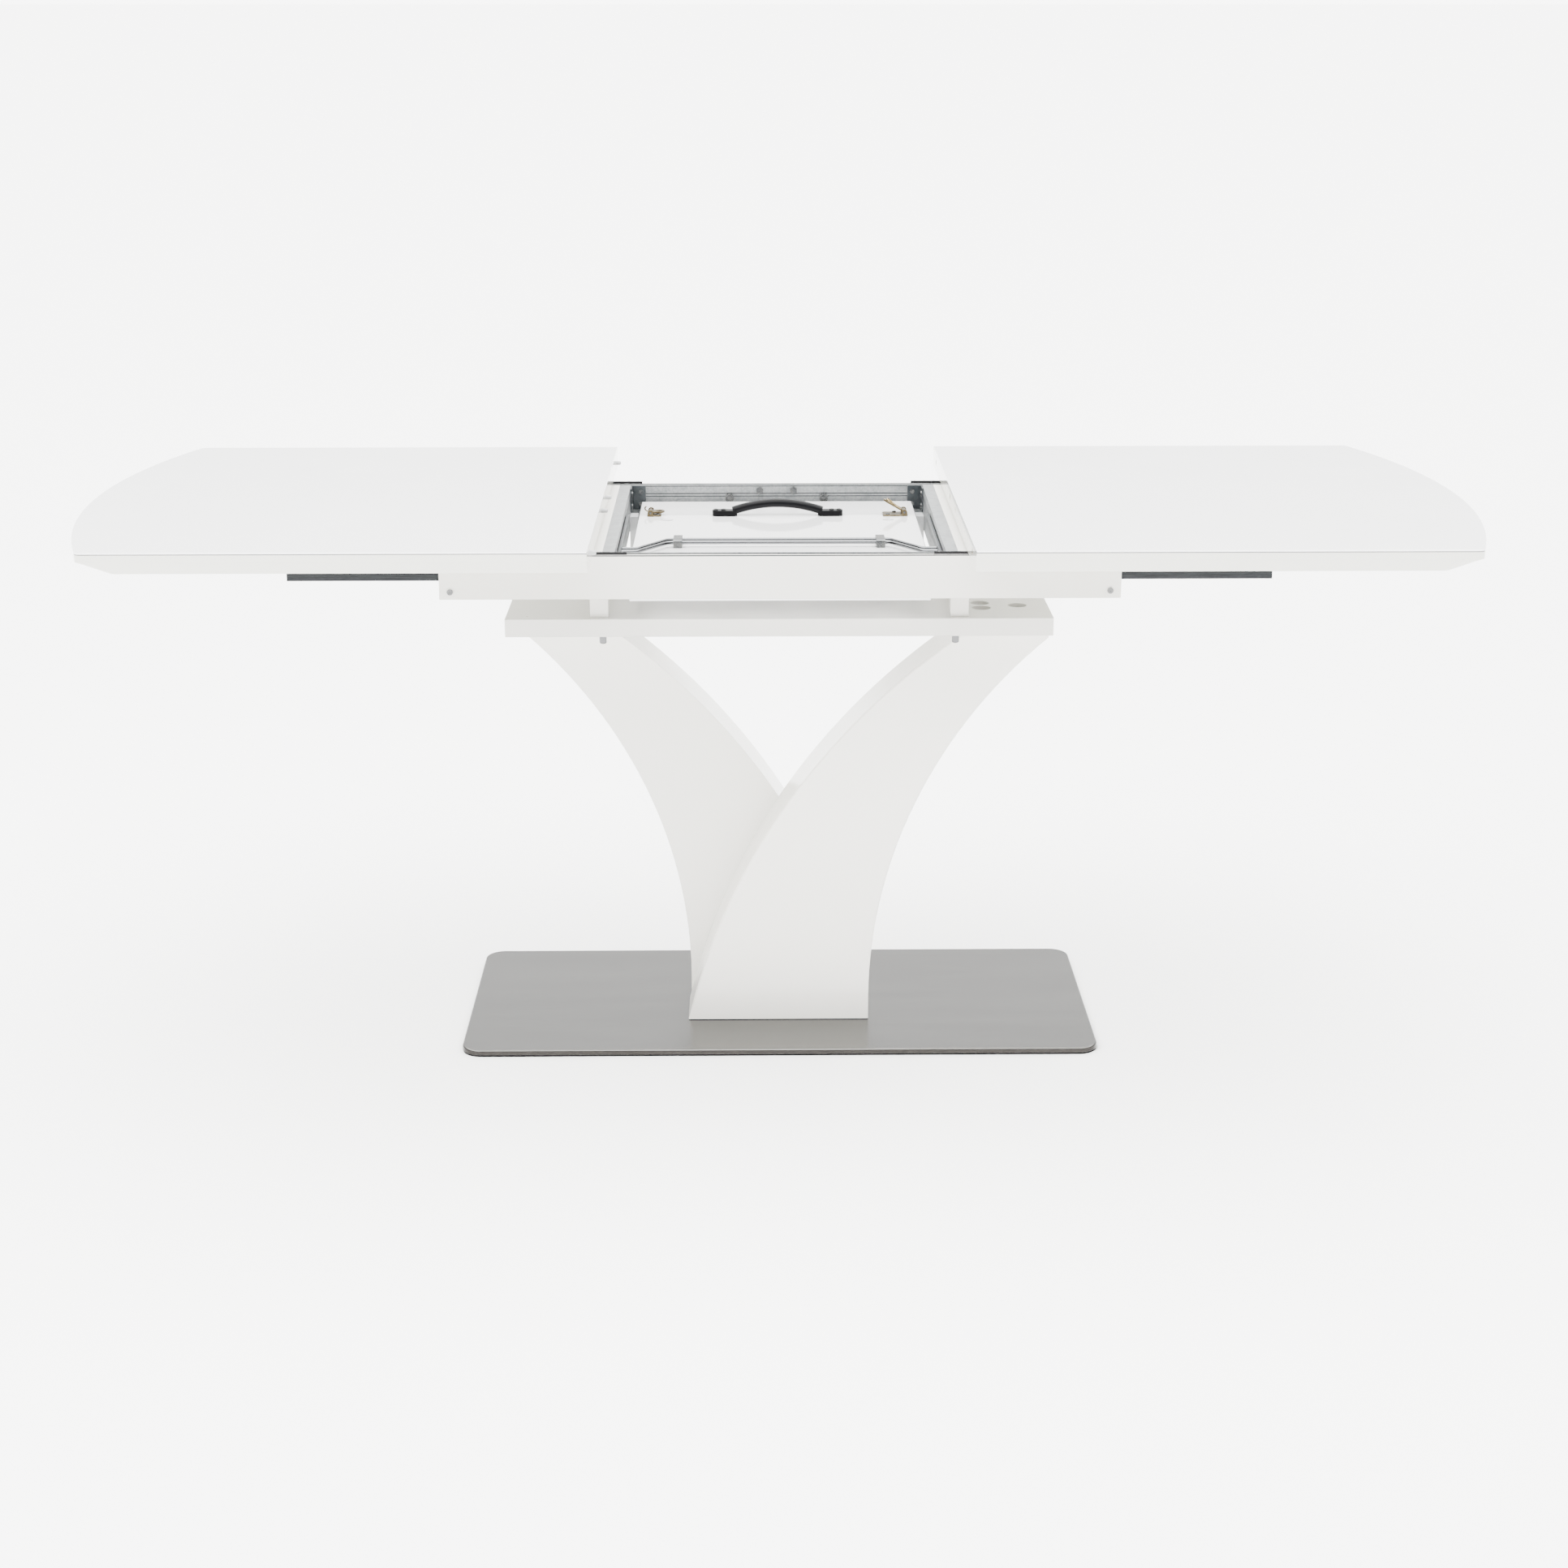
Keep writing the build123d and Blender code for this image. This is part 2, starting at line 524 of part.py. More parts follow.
def handle():
    """Black bow handle on two flat feet."""
    length, width, foot_t = HANDLE_FOOT
    z = INSERT_TOP + foot_t
    ends = HANDLE_FOOT_X - 12
    crown = (0, HANDLE_Y, INSERT_TOP + HANDLE_RISE)
    path = Edge.make_three_point_arc((-ends, HANDLE_Y, z - 1), crown, (ends, HANDLE_Y, z - 1))
    bow = sweep(Plane(origin=path @ 0, z_dir=path % 0) * Circle(HANDLE_BAR / 2), path=path)
    bow -= block(-200, 200, HANDLE_Y - 20, HANDLE_Y + 20, INSERT_TOP - 20, INSERT_TOP)
    for sx in SIDES:
        x = sx * HANDLE_FOOT_X
        foot = block(x - length / 2, x + length / 2, HANDLE_Y - 8, HANDLE_Y + 8, INSERT_TOP, z)
        bow += fillet(foot.edges().filter_by(Axis.Z), width / 2 - 1)
    for x, y in HANDLE_SCREWS:
        bow -= rod_z(x, y, INSERT_TOP, z, 3)
    return bow


LATCH_BASE_W, LATCH_BASE_T = 26, 2
LATCH_PIN_Z = INSERT_TOP + 5.5
# Length of the base, reach of the lever's ring, and its screws, measured in from the pin and across.
LONG_LATCH = (36, 26, ((24, -9.5), (14, 9.5)))
SHORT_LATCH = (20, 12, ((10.5, -9), (10.5, 9)))


LATCHES = ((LEFT, SHORT_LATCH), (RIGHT, LONG_LATCH))


def latch_screws(latch):
    return [(LATCH_X - inward, LATCH_Y + across) for inward, across in latch[2]]


def latch_base(latch):
    """Bronze plate with two ears, drawn for the right side."""
    width, z = LATCH_BASE_W, INSERT_TOP + LATCH_BASE_T
    x1 = LATCH_X + 5
    plate = block(x1 - latch[0], x1, LATCH_Y - width / 2, LATCH_Y + width / 2, INSERT_TOP, z)
    shape = fillet(plate.edges().filter_by(Axis.Z), 3)
    for side in (-1, 1):
        y0, y1 = LATCH_Y + side * (width / 2 - 3.5), LATCH_Y + side * width / 2
        shape += block(LATCH_X - 4, LATCH_X + 4, y0, y1, z, LATCH_PIN_Z)
        shape += rod_y(LATCH_X, y0, y1, LATCH_PIN_Z, 8)
    shape -= rod_y(LATCH_X, LATCH_Y - width, LATCH_Y + width, LATCH_PIN_Z, LATCH_PIN)
    for x, y in latch_screws(latch):
        shape -= rod_z(x, y, INSERT_TOP, z, 3)
    return shape


def latch_pin():
    half = LATCH_BASE_W / 2 + 1.2
    return rod_y(LATCH_X, LATCH_Y - half, LATCH_Y + half, LATCH_PIN_Z, LATCH_PIN)


def latch_lever(latch, angle):
    """Ring-ended bronze lever on a thick hub, drawn for the right side and raised by an angle."""
    half, t = LATCH_W / 2, 2.4
    ring_x = LATCH_X - latch[1]
    plate = block(ring_x, LATCH_X, LATCH_Y - half, LATCH_Y + half, 0, t)
    plate = Pos(0, 0, LATCH_PIN_Z - t / 2) * (plate + rod_z(ring_x, LATCH_Y, 0, t, LATCH_W))
    plate -= rod_z(ring_x, LATCH_Y, 0, TABLE_H, 10)
    hub = rod_y(LATCH_X, LATCH_Y - half, LATCH_Y + half, LATCH_PIN_Z, 6.4)
    lever = plate + hub - rod_y(LATCH_X, LATCH_Y - 20, LATCH_Y + 20, LATCH_PIN_Z, LATCH_PIN + 0.6)
    return lever.rotate(Axis((LATCH_X, LATCH_Y, LATCH_PIN_Z), (0, 1, 0)), angle)


FOLD_HINGE_YS = (-130, 130)
FOLD_HINGE_L = 50


def fold_hinge(y, half_z):
    """One leaf of a fold hinge on the left edge; half_z is +1 for the upper half of the insert."""
    z, x = INSERT_TOP - INSERT_T - 0.25, -INSERT_HALF_X
    end = FOLD_HINGE_L / 2
    plate = block(x, x - 1.5, y - end, y + end, z + half_z * 0.4, z + half_z * 18)
    spans = [(-end, -9), (9, end)] if half_z > 0 else [(-8.6, 8.6)]
    knuckle_z = z
    for a, b in spans:
        plate += rod_y(x - 3, y + a, y + b, knuckle_z, 5)
        plate += block(x, x - 3, y + a, y + b, z, z + half_z * 2)
    other = [(-8.8, 8.8)] if half_z > 0 else [(-end, -8.8), (8.8, end)]
    for a, b in other:
        plate -= block(x - 6, x, y + a, y + b, z - 3, z + 3)
    return plate - rod_y(x - 3, y - end, y + end, knuckle_z, 2.2)


def fold_pin(y):
    end = FOLD_HINGE_L / 2
    return rod_y(-INSERT_HALF_X - 3, y - end, y + end, INSERT_TOP - INSERT_T - 0.25, 2.2)


PLUG_X, PLUG_Y = 158, 92


def plug(sx):
    """Small oval cover plug in the upper half of the insert."""
    disc = Pos(sx * PLUG_X, PLUG_Y, INSERT_TOP) * extrude(Ellipse(8, 5), 0.8)
    return disc + rod_z(sx * PLUG_X, PLUG_Y, INSERT_TOP - 8, INSERT_TOP, 6)


def insert_upper():
    panel = insert_half(INSERT_TOP)
    for x, y in HANDLE_SCREWS:
        panel -= rod_z(x, y, INSERT_TOP - 14, INSERT_TOP, 3)
    for sx, latch in LATCHES:
        panel -= rod_z(sx * PLUG_X, PLUG_Y, INSERT_TOP - 8, INSERT_TOP, 6)
        for x, y in latch_screws(latch):
            panel -= rod_z(sx * x, y, INSERT_TOP - 14, INSERT_TOP, 3)
    return panel


def main():
    save("base_plate", base_plate())
    save("base_pad", base_pad())
    save("plate_screws", *[plate_screw(x, y) for x, y in PLATE_SCREWS])
    save("front_leg", front_leg())
    save("rear_leg", front_leg().rotate(Axis.Z, 180))
    save("leg_bolts", *leg_bolts())
    save("pedestal_board", pedestal_board())
    for sx, side in ((LEFT, "left"), (RIGHT, "right")):
        save(f"{side}_posts", post(sx, FRONT), post(sx, BACK))
        save(f"{side}_cross_member", cross_member(sx))
        save(f"{side}_cross_channel", cross_channel(sx))
        save(f"{side}_swing_arm", swing_arm(sx))
        save(f"{side}_rest_block", rest_block(sx))
    save("post_bolts", *[post_bolt(*c) for c in CORNERS])
    save("post_nuts", *[post_nut(*c) for c in CORNERS])
    for sy, side in ((FRONT, "front"), (BACK, "rear")):
        save(f"{side}_rail", rail(sy))
        save(f"{side}_slide_channel", slide_channel(sy))
    save("rail_screws", *[rail_screw(*c) for c in CORNERS])
    save("channel_bolts", *[hex_bolt(*c) for c in CORNERS])
    save("channel_bumpers", *[bumper(*c) for c in CORNERS])
    save("corner_brackets", *[corner_bracket(*c) for c in CORNERS])
    bracket_fixings = [s for c in CORNERS for z in BRACKET_SCREW_ZS for s in bracket_screws(*c, z)]
    save("bracket_screws", *bracket_fixings)
    save("corner_covers", *[corner_cover(*c) for c in CORNERS])
    guide_xs = (GAP_X + 30, RAIL_L / 2 - 12)
    save("slide_guides", *[slide_guide(*c, x) for c in CORNERS for x in guide_xs])

    right_bars = {"front": slide_bar(FRONT), "rear": slide_bar(BACK)}
    stops = [bar_stop(FRONT), bar_stop(BACK)]
    screws = [flange_screw(x, y) for x, y in flange_screws()]
    right_leaf = leaf()
    save("right_leaf", right_leaf)
    save("left_leaf", mirror_x(right_leaf))
    for side, bar in right_bars.items():
        save(f"right_{side}_slide_bar", bar)
        save(f"left_{side}_slide_bar", mirror_x(bar))
    save("right_bar_stops", *stops)
    save("left_bar_stops", *[mirror_x(s) for s in stops])
    save("right_leaf_screws", *screws)
    save("left_leaf_screws", *[mirror_x(s) for s in screws])
    save("right_leaf_sleeves", *[sleeve(y) for y in PIN_YS])
    save("left_leaf_pins", *[left_pin(y) for y in PIN_YS])

    save("insert_upper_half", insert_upper())
    save("insert_lower_half", insert_half(INSERT_TOP - INSERT_T - 0.5))
    save("upper_fold_hinges", *[fold_hinge(y, 1) for y in FOLD_HINGE_YS])
    save("lower_fold_hinges", *[fold_hinge(y, -1) for y in FOLD_HINGE_YS])
    save("fold_hinge_pins", *[fold_pin(y) for y in FOLD_HINGE_YS])
    save("swing_pivots", swing_pivot(LEFT), swing_pivot(RIGHT))
    save("swing_rods", *[swing_rod(y) for y in ROD_YS])
    save("rod_clamps", rod_clamp(LEFT), rod_clamp(RIGHT))
    save("lift_handle", handle())
    handle_top, latch_top = INSERT_TOP + HANDLE_FOOT[2], INSERT_TOP + LATCH_BASE_T
    latch_places = [(sx * x, y) for sx, latch in LATCHES for x, y in latch_screws(latch)]
    insert_screws = [screw_down(x, y, handle_top) for x, y in HANDLE_SCREWS]
    insert_screws += [screw_down(x, y, latch_top, 5.5) for x, y in latch_places]
    save("insert_screws", *insert_screws)
    save("insert_plugs", plug(LEFT), plug(RIGHT))
    save("right_latch_base", latch_base(LONG_LATCH))
    save("left_latch_base", mirror_x(latch_base(SHORT_LATCH)))
    save("latch_pins", latch_pin(), mirror_x(latch_pin()))
    save("right_latch_lever", latch_lever(LONG_LATCH, LATCH_OPEN))
    save("left_latch_lever", mirror_x(latch_lever(SHORT_LATCH, 0)))


main()
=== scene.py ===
import json
from math import cos, radians, sin

import bmesh
import bpy
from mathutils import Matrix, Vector


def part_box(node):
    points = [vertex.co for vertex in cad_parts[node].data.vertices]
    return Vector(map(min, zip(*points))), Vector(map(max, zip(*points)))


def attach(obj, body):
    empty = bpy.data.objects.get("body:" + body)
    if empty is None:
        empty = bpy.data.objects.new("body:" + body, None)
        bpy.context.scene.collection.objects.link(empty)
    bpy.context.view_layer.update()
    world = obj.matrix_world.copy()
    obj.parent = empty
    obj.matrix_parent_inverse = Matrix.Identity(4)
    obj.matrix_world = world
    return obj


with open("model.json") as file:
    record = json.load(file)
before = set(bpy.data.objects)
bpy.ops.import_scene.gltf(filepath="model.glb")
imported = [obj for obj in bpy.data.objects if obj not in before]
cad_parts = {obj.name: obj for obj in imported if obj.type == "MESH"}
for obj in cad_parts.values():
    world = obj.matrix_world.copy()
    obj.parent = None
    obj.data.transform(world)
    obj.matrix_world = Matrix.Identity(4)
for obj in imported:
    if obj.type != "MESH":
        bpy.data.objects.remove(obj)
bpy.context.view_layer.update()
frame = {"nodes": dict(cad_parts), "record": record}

NODES = frame["nodes"]
SLOT_OF = {row["node"]: row["material_slot"] for row in frame["record"]["subparts"]}


# ---------------------------------------------------------------- material building blocks
LINE_CORE = 0.6  # share of a drawn line that has its full colour
EDGE_TURN = (0.72, 0.97)  # agreement of true and softened normal: fully tinted edge, plain face; the edge tint is painted light, darker tints painted shade and lighter ones a painted highlight


class Shader:
    """A new material with a few short ways to add and join nodes."""

    def __init__(self, name, color, rough, metal=0.0):
        self.mat = bpy.data.materials.new(name)
        self.mat.use_nodes = True
        self.tree = self.mat.node_tree
        self.bsdf = self.tree.nodes["Principled BSDF"]
        self.set(self.bsdf, "Base Color", (*color, 1))
        self.set(self.bsdf, "Roughness", rough)
        self.set(self.bsdf, "Metallic", metal)
        self.coords = self.node("ShaderNodeTexCoord").outputs["Object"]

    def node(self, kind, **values):
        made = self.tree.nodes.new(kind)
        for key, value in values.items():
            setattr(made, key, value)
        return made

    def set(self, node, socket, value):
        """Give a socket a plain value, or join another node's output to it."""
        if isinstance(value, bpy.types.NodeSocket):
            self.tree.links.new(value, node.inputs[socket])
        else:
            node.inputs[socket].default_value = value

    def principled(self, **values):
        """Set more of the main shader's sockets, spaces in their names written as underscores."""
        for key, value in values.items():
            self.set(self.bsdf, key.replace("_", " "), value)
        return self

    def stretched(self, x, y, z):
        """Coordinates scaled by axis, for a noise drawn out along the smallest."""
        mapping = self.node("ShaderNodeMapping")
        self.set(mapping, "Vector", self.coords)
        self.set(mapping, "Scale", (x, y, z))
        return mapping.outputs["Vector"]

    def noise(self, scale, detail, rough=0.55, vector=None):
        made = self.node("ShaderNodeTexNoise")
        self.set(made, "Vector", vector or self.coords)
        self.set(made, "Scale", scale)
        self.set(made, "Detail", detail)
        self.set(made, "Roughness", rough)
        return made.outputs["Fac"]

    def cells(self, scale):
        """Flakes, each with its own random tone."""
        made = self.node("ShaderNodeTexVoronoi")
        self.set(made, "Vector", self.coords)
        self.set(made, "Scale", scale)
        return made.outputs["Color"]

    def span(self, value, low, high, in_low, in_high):
        """Map a value from one range to another, held at the ends."""
        made = self.node("ShaderNodeMapRange")
        for socket, number in zip(
            ("Value", "From Min", "From Max", "To Min", "To Max"),
            (value, in_low, in_high, low, high),
        ):
            self.set(made, socket, number)
        return made.outputs["Result"]

    def mottle(self, value, dark, light, start=0.3, end=0.7):
        """Base colour that goes from dark to light while a noise goes from start to end."""
        made = self.node("ShaderNodeValToRGB")
        self.set(made, "Fac", value)
        for point, position, color in zip(made.color_ramp.elements, (start, end), (dark, light)):
            point.position = position
            point.color = (*color, 1)
        self.set(self.bsdf, "Base Color", made.outputs["Color"])

    def roughen(self, value, low, high, start=0.3, end=0.7):
        """Roughness that goes from low to high while a noise goes from start to end."""
        self.set(self.bsdf, "Roughness", self.span(value, low, high, start, end))

    def height(self):
        axes = self.node("ShaderNodeSeparateXYZ")
        self.set(axes, "Vector", self.coords)
        return axes.outputs["Z"]

    def clear_of(self, level, half):
        """0 within a level line round the piece, 1 away from it, with a soft border."""
        away = self.math("ABSOLUTE", self.math("SUBTRACT", self.height(), level))
        return self.span(away, 0.0, 1.0, half * LINE_CORE, half)

    def tint(self, mask, color):
        """Lay a colour over the base colour wherever the mask is 0."""
        before = self.bsdf.inputs["Base Color"]
        below = before.links[0].from_socket if before.is_linked else tuple(before.default_value)[:3]
        self.set(self.bsdf, "Base Color", self.mix(mask, color, below))

    def mix(self, factor, a, b):
        """Blend two colours; either may be a plain colour or another node's output."""
        made = self.node("ShaderNodeMix", data_type="RGBA")
        self.tree.links.new(factor, made.inputs["Factor"])
        for socket, value in ((made.inputs[6], a), (made.inputs[7], b)):
            if isinstance(value, bpy.types.NodeSocket):
                self.tree.links.new(value, socket)
            else:
                socket.default_value = (*value, 1)
        return made.outputs[2]

    def edges(self, radius, tint):
        """Soften the hard edges in the shading, and paint a colour along them: a darker one is painted
        shade, a lighter one a painted highlight.
        """
        soft = self.node("ShaderNodeBevel", samples=4)
        self.set(soft, "Radius", radius)
        along = self.node("ShaderNodeVectorMath", operation="DOT_PRODUCT")
        self.tree.links.new(soft.outputs["Normal"], along.inputs[0])
        self.tree.links.new(self.node("ShaderNodeNewGeometry").outputs["Normal"], along.inputs[1])
        # edge tint, painted light: painted shade with a darker tint, painted highlight with a lighter one
        self.tint(self.span(along.outputs["Value"], 0.0, 1.0, *EDGE_TURN), tint)
        self.set(self.bsdf, "Normal", soft.outputs["Normal"])

    def math(self, operation, a, b=0.0):
        made = self.node("ShaderNodeMath", operation=operation)
        self.tree.links.new(a, made.inputs[0])
        if isinstance(b, bpy.types.NodeSocket):
            self.tree.links.new(b, made.inputs[1])
        else:
            made.inputs[1].default_value = b
        return made.outputs["Value"]

    def blend(self, a, b, share):
        """Two noises added up, with this share of the second."""
        return self.math("ADD", self.math("MULTIPLY", a, 1 - share), self.math("MULTIPLY", b, share))

    def bump(self, height, depth):
        """Depth is the height of the relief in metres; several bumps follow one another."""
        made = self.node("ShaderNodeBump")
        self.set(made, "Height", height)
        self.set(made, "Distance", depth)
        before = self.bsdf.inputs["Normal"]
        if before.is_linked:
            self.set(made, "Normal", before.links[0].from_socket)
        self.set(self.bsdf, "Normal", made.outputs["Normal"])


def scaled(color, factor):
    return tuple(part * factor for part in color)


def grey(level, warm):
    """A near-neutral colour; warm above 0 lowers the blue."""
    return (level, level * (1 - 0.25 * warm), level * (1 - warm))


# ---------------------------------------------------------------- finishes
TOP_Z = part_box("right_leaf")[1][2]
RAIL_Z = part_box("rear_rail")[1][2]
FOOT_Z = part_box("front_leg")[0][2]

# lines drawn round the pieces: height, half width; the top joint is a real joint, the rail, foot and zinc
# lines are painted shade
TOP_JOINT = (TOP_Z - 0.0022, 0.0008)  # between the top sheet and its rim
# painted shadow line along the rails' top edge
RAIL_SHADOW_LINE = (RAIL_Z - 0.0014, 0.0012)
# painted shadow line where the leg's foot meets the plate
FOOT_SHADOW_LINE = (FOOT_Z, 0.0012)
# painted shade lines on the zinc channel: at its top edge and along its presses and folds
ZINC_SHADE_LINES = (
    (RAIL_Z - 0.0018, 0.0007),
    (RAIL_Z - 0.013, 0.001),
    (RAIL_Z - 0.0168, 0.0008),
)
RIM_BLEND = 0.001  # height over which the sheet's white turns into the rim's darker white, painted shade

# grey of the painted shade lines
SHADE_LINE_GREY = (0.025, 0.028, 0.03)
JOINT_GREY = (0.1, 0.1, 0.095)
# rim white: warmer than the top sheet, and darker as painted shade on the upright rim
SHADED_RIM_WHITE = (0.64, 0.64, 0.585)
CLOUD_DEPTH = 0.015  # how much darker lacquer gets where it is clouded


def lacquer(name, level, rough, warm, peel):
    """Sprayed lacquer: faint orange peel, soft cloudiness, uneven gloss, and edges painted darker as
    painted shade.
    """
    color, clouded = grey(level, warm), grey(level - CLOUD_DEPTH, warm)
    s = Shader(name, color, rough)
    s.mottle(s.noise(3.5, 3), clouded, color)
    # edges painted darker: painted shade
    s.edges(0.0012, scaled(color, 0.72))
    s.roughen(s.noise(9, 5), rough * 0.8, rough * 1.25)
    s.bump(s.noise(420, 2), peel)
    return s


def top_lacquer():
    """Glossy white top sheet; a hairline joint runs round the rim just under it, and the rim below is
    painted a darker white as painted shade.
    """
    s = lacquer("top_lacquer", 0.88, 0.13, warm=-0.004, peel=0.000015)
    # rim below the joint painted a darker white: painted shade
    s.tint(s.span(s.height(), 0.0, 1.0, TOP_JOINT[0] - RIM_BLEND, TOP_JOINT[0]), SHADED_RIM_WHITE)
    joint = s.clear_of(*TOP_JOINT)
    s.tint(joint, JOINT_GREY)
    s.bump(joint, 0.0003)
    return s.principled(Coat_Weight=0.6, Coat_Roughness=0.05, IOR=1.5).mat


def leg_lacquer():
    """Warm white, with a painted shadow line where the foot meets the plate."""
    s = lacquer("leg_lacquer", 0.83, 0.2, warm=0.085, peel=0.00003)
    # painted shadow line at the foot
    s.tint(s.clear_of(*FOOT_SHADOW_LINE), SHADE_LINE_GREY)
    return s.principled(Coat_Weight=0.35, Coat_Roughness=0.12).mat


def board_lacquer():
    # white set darker than the legs and top: painted shade
    return lacquer("board_lacquer", 0.68, 0.34, warm=0.08, peel=0.00004).mat


def panel_lacquer():
    s = lacquer("panel_lacquer", 0.88, 0.1, warm=0.0, peel=0.00002)
    return s.principled(Coat_Weight=1.0, Coat_Roughness=0.03, Coat_IOR=1.7).mat


def powder_coat():
    """Matt white on the rails, set darker than the legs and top as painted shade, with a painted shadow
    line along their top edge.
    """
    # white set darker than the legs and top: painted shade
    s = lacquer("powder_coat", 0.66, 0.38, warm=0.09, peel=0.0)
    s.tint(s.clear_of(*RAIL_SHADOW_LINE), SHADE_LINE_GREY)
    s.bump(s.noise(1400, 3), 0.00005)
    return s.mat


def brushed_plate():
    """Stainless sheet brushed along X: level faces bright, side faces painted darker as painted shade,
    edges lighter as a painted highlight.
    """
    s = Shader("brushed_plate", (0.12, 0.118, 0.114), 0.22, 1.0)
    fine = s.noise(160, 5, 0.75, s.stretched(0.22, 60, 60))
    broad = s.noise(7, 3, 0.5, s.stretched(0.5, 4, 4))
    brushing = s.blend(fine, broad, 0.2)
    s.mottle(brushing, (0.1, 0.099, 0.095), (0.14, 0.138, 0.133))
    facing = s.node("ShaderNodeSeparateXYZ")
    s.set(facing, "Vector", s.node("ShaderNodeNewGeometry").outputs["Normal"])
    # side faces, picked by their facing, painted darker: painted shade
    s.tint(s.span(facing.outputs["Z"], 0.0, 1.0, 0.25, 0.7), (0.04, 0.037, 0.035))
    # lighter edges: painted highlight
    s.edges(0.001, (0.3, 0.295, 0.29))
    s.roughen(brushing, 0.17, 0.26)
    across = s.node("ShaderNodeCombineXYZ")
    s.set(across, "Y", 1.0)
    s.set(s.bsdf, "Tangent", across.outputs["Vector"])
    s.bump(fine, 0.00001)
    return s.principled(Anisotropic=0.6).mat


def zinc_sheet():
    """Galvanised sheet: small flakes of uneven grey, with painted shade lines at its top edge and along its
    presses and folds, and a painted highlight on its edges.
    """
    s = Shader("zinc_sheet", (0.28, 0.29, 0.295), 0.42, 0.85)
    flakes = s.cells(420)
    tone = s.blend(flakes, s.noise(55, 6, 0.7), 0.7)
    s.mottle(tone, (0.17, 0.18, 0.185), (0.34, 0.35, 0.352), 0.25, 0.75)
    # lighter edges: painted highlight
    s.edges(0.0008, (0.42, 0.43, 0.43))
    for level, half in ZINC_SHADE_LINES:
        s.tint(s.clear_of(level, half), SHADE_LINE_GREY)
    s.roughen(flakes, 0.36, 0.5, 0.0, 1.0)
    s.bump(flakes, 0.00003)
    return s.mat


def zinc_plated():
    s = Shader("zinc_plated", (0.2, 0.205, 0.21), 0.3, 1.0)
    s.mottle(s.noise(90, 4), (0.07, 0.075, 0.08), (0.15, 0.15, 0.145))
    s.roughen(s.noise(300, 3), 0.2, 0.4)
    s.bump(s.noise(900, 3), 0.00004)
    return s.mat


def bar_steel():
    """Cold-rolled bar, blued, with drag lines along X and a thin film of grease."""
    s = Shader("bar_steel", (0.015, 0.016, 0.018), 0.42)
    drag = s.noise(40, 5, 0.65, s.stretched(0.8, 40, 40))
    s.mottle(drag, (0.008, 0.009, 0.01), (0.022, 0.024, 0.026))
    s.roughen(drag, 0.2, 0.42)
    s.bump(drag, 0.00004)
    return s.principled(Specular_IOR_Level=0.1).mat


def dark_steel():
    s = Shader("dark_steel", (0.09, 0.095, 0.1), 0.38, 0.75)
    s.mottle(s.noise(60, 5), (0.03, 0.036, 0.04), (0.075, 0.083, 0.088), end=0.75)
    # lighter edges: painted highlight
    s.edges(0.0006, (0.16, 0.165, 0.17))
    s.bump(s.noise(1200, 3), 0.00005)
    return s.mat


def bronze():
    """Lacquered bronze finish: darker in the hollows, with a painted highlight along its edges."""
    s = Shader("bronze", (0.11, 0.085, 0.05), 0.3, 1.0)
    patina = s.noise(140, 5, 0.6)
    s.mottle(patina, (0.055, 0.042, 0.024), (0.16, 0.125, 0.07))
    # lighter edges: painted highlight
    s.edges(0.0006, (0.34, 0.27, 0.15))
    s.roughen(patina, 0.45, 0.22)
    s.bump(s.noise(700, 3), 0.00004)
    return s.mat


def brass():
    s = Shader("brass", (0.3, 0.22, 0.1), 0.25, 1.0)
    s.mottle(s.noise(160, 4), (0.2, 0.145, 0.062), (0.4, 0.3, 0.14))
    s.roughen(s.noise(500, 3), 0.18, 0.36)
    s.bump(s.noise(900, 2), 0.00003)
    return s.mat


def polished(name, color, rough):
    """Bright metal with hairline turning marks."""
    s = Shader(name, color, rough, 1.0)
    # darker edges: painted shade
    s.edges(0.0008, scaled(color, 0.35))
    s.roughen(s.noise(200, 4), rough * 0.6, rough * 1.5)
    s.bump(s.noise(1500, 2), 0.00002)
    return s.mat


def plastic(name, color, rough, grain=0.00008, gloss=0.5):
    """Moulded plastic with a spark-eroded grain."""
    s = Shader(name, color, rough)
    s.mottle(s.noise(35, 4), color, scaled(color, 1.25), 0.35, 0.75)
    # lighter edges: painted highlight
    s.edges(0.0006, scaled(color, 1.6))
    s.roughen(s.noise(220, 3), rough * 0.85, rough * 1.15)
    s.bump(s.noise(1800, 2), grain)
    return s.principled(Specular_IOR_Level=gloss).mat


FINISHES = {
    "white_top": top_lacquer(),
    "white_lacquer": leg_lacquer(),
    "white_board": board_lacquer(),
    "white_panel": panel_lacquer(),
    "white_steel": powder_coat(),
    "brushed_plate": brushed_plate(),
    "zinc_sheet": zinc_sheet(),
    "zinc": zinc_plated(),
    "bar_steel": bar_steel(),
    "dark_steel": dark_steel(),
    "bronze": bronze(),
    "brass": brass(),
    "chrome": polished("chrome", (0.12, 0.12, 0.123), 0.14),
    "bright_rod": polished("bright_rod", (0.13, 0.133, 0.138), 0.2),
    "black_handle": plastic("black_handle", (0.0025, 0.0025, 0.003), 0.34, 0.00003, 0.08),
    "black_plastic": plastic("black_plastic", (0.004, 0.004, 0.0045), 0.5, gloss=0.15),
    "grey_plastic": plastic("grey_plastic", (0.40, 0.405, 0.41), 0.4),
    "nylon": plastic("nylon", (0.55, 0.54, 0.5), 0.4),
    "black_pad": plastic("black_pad", (0.006, 0.006, 0.006), 0.8, gloss=0.1),
}


def dress_nodes():
    """Give each CAD node the finish of its material slot."""
    for name, obj in NODES.items():
        obj.data.materials.clear()
        obj.data.materials.append(FINISHES[SLOT_OF[name]])


dress_nodes()


